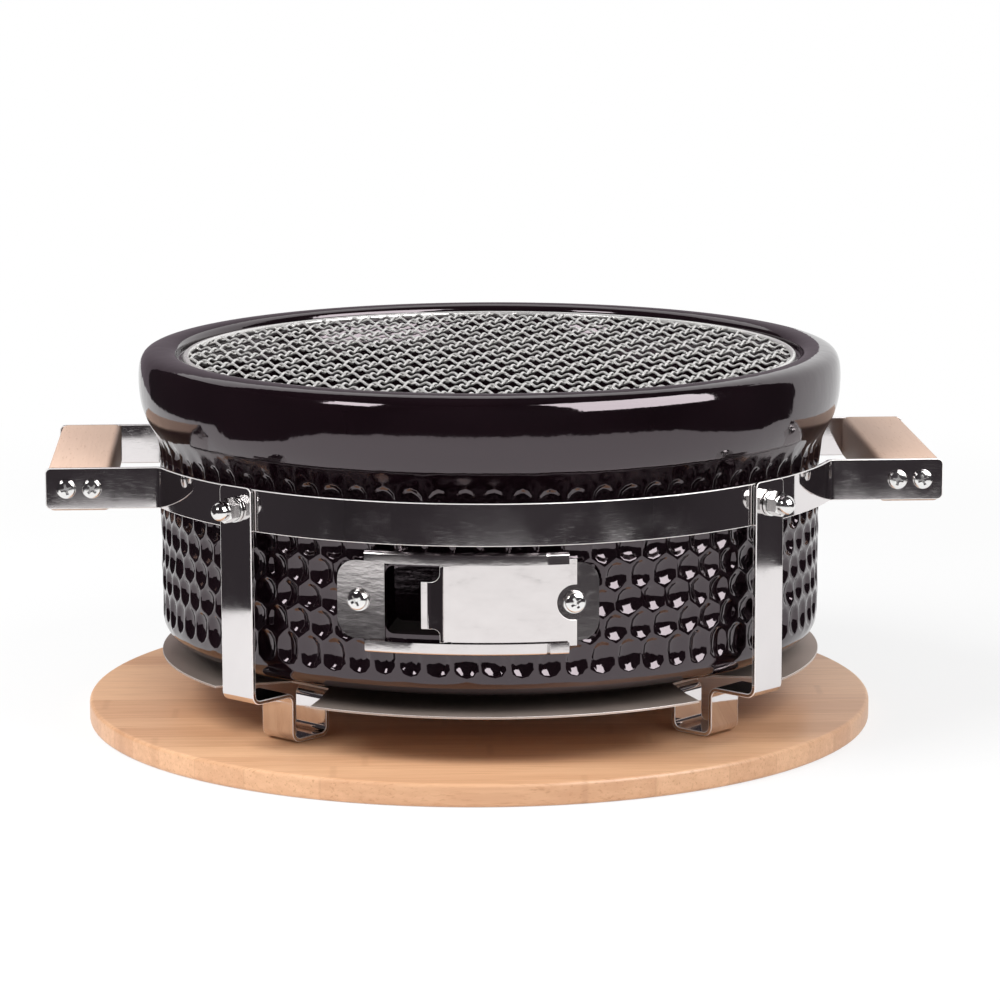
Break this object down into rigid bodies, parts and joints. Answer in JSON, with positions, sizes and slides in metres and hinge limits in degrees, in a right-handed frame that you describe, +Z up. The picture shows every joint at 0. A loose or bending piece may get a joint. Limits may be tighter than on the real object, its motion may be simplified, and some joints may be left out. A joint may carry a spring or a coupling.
{
  "type": "charcoal brazier",
  "caption": "Round tabletop charcoal brazier: glazed ceramic fire bowl in a folded steel stand with wooden grips, woven cooking net, sliding air vent and bamboo board.",
  "frame": {"origin": "underside of the bamboo board, in the middle of the whole object's plan", "axes": "+X from the left grip to the right grip, -Y the front with the air vent, +Z up"},
  "size_m": [0.424, 0.382, 0.1817],
  "materials": {
    "bamboo": "laminated bamboo, satin",
    "glaze": "near-black aubergine glaze, glossy, studded wall",
    "iron": "bare, matt",
    "net_steel": "bright crimped wire",
    "mirror_steel": "mirror-polished stainless steel",
    "matt_steel": "matt stainless sheet",
    "beech": "plain beech, oiled"
  },
  "bodies": {
    "board": {"bamboo_board": "bamboo"},
    "stand": {"hoop_front": "mirror_steel", "hoop_rear": "mirror_steel", "left_grip": "beech", "right_grip": "beech", "heat_plate": "matt_steel", "grip_screw_front_1": "mirror_steel", "grip_screw_front_2": "mirror_steel", "grip_screw_front_3": "mirror_steel", "grip_screw_front_4": "mirror_steel", "grip_screw_rear_1": "mirror_steel", "grip_screw_rear_2": "mirror_steel", "grip_screw_rear_3": "mirror_steel", "grip_screw_rear_4": "mirror_steel", "leg_front_left": "mirror_steel", "leg_bolt_front_left": "mirror_steel", "leg_washer_front_left": "mirror_steel", "cap_nut_front_left": "mirror_steel", "plate_rivet_front_left": "mirror_steel", "leg_front_right": "mirror_steel", "leg_bolt_front_right": "mirror_steel", "leg_washer_front_right": "mirror_steel", "cap_nut_front_right": "mirror_steel", "plate_rivet_front_right": "mirror_steel", "leg_rear_right": "mirror_steel", "leg_bolt_rear_right": "mirror_steel", "leg_washer_rear_right": "mirror_steel", "cap_nut_rear_right": "mirror_steel", "plate_rivet_rear_right": "mirror_steel", "leg_rear_left": "mirror_steel", "leg_bolt_rear_left": "mirror_steel", "leg_washer_rear_left": "mirror_steel", "cap_nut_rear_left": "mirror_steel", "plate_rivet_rear_left": "mirror_steel"},
    "bowl": {"ceramic_body": "glaze", "vent_plate": "mirror_steel", "vent_screw_left": "mirror_steel", "vent_screw_right": "mirror_steel", "vent_washer_left": "mirror_steel", "vent_washer_right": "mirror_steel"},
    "door": {"vent_door": "mirror_steel"},
    "net": {"cooking_net": "net_steel"},
    "grate": {"charcoal_grate": "iron"}
  },
  "joints": [
    {"name": "stand_lift", "type": "slide", "parent": "board", "child": "stand", "axis": [0, 0, 1], "range_m": [0, 0.06]},
    {"name": "bowl_lift", "type": "slide", "parent": "stand", "child": "bowl", "axis": [0, 0, 1], "range_m": [0, 0.11]},
    {"name": "net_lift", "type": "slide", "parent": "bowl", "child": "net", "axis": [0, 0, 1], "range_m": [0, 0.08]},
    {"name": "grate_lift", "type": "slide", "parent": "bowl", "child": "grate", "axis": [0, 0, 1], "range_m": [0, 0.06]},
    {"name": "vent_slide", "type": "hinge", "parent": "bowl", "child": "door", "pos_m": [0, 0, 0.0867], "axis": [0, 0, 1], "range_deg": [-9.4, 0.4]}
  ]
}
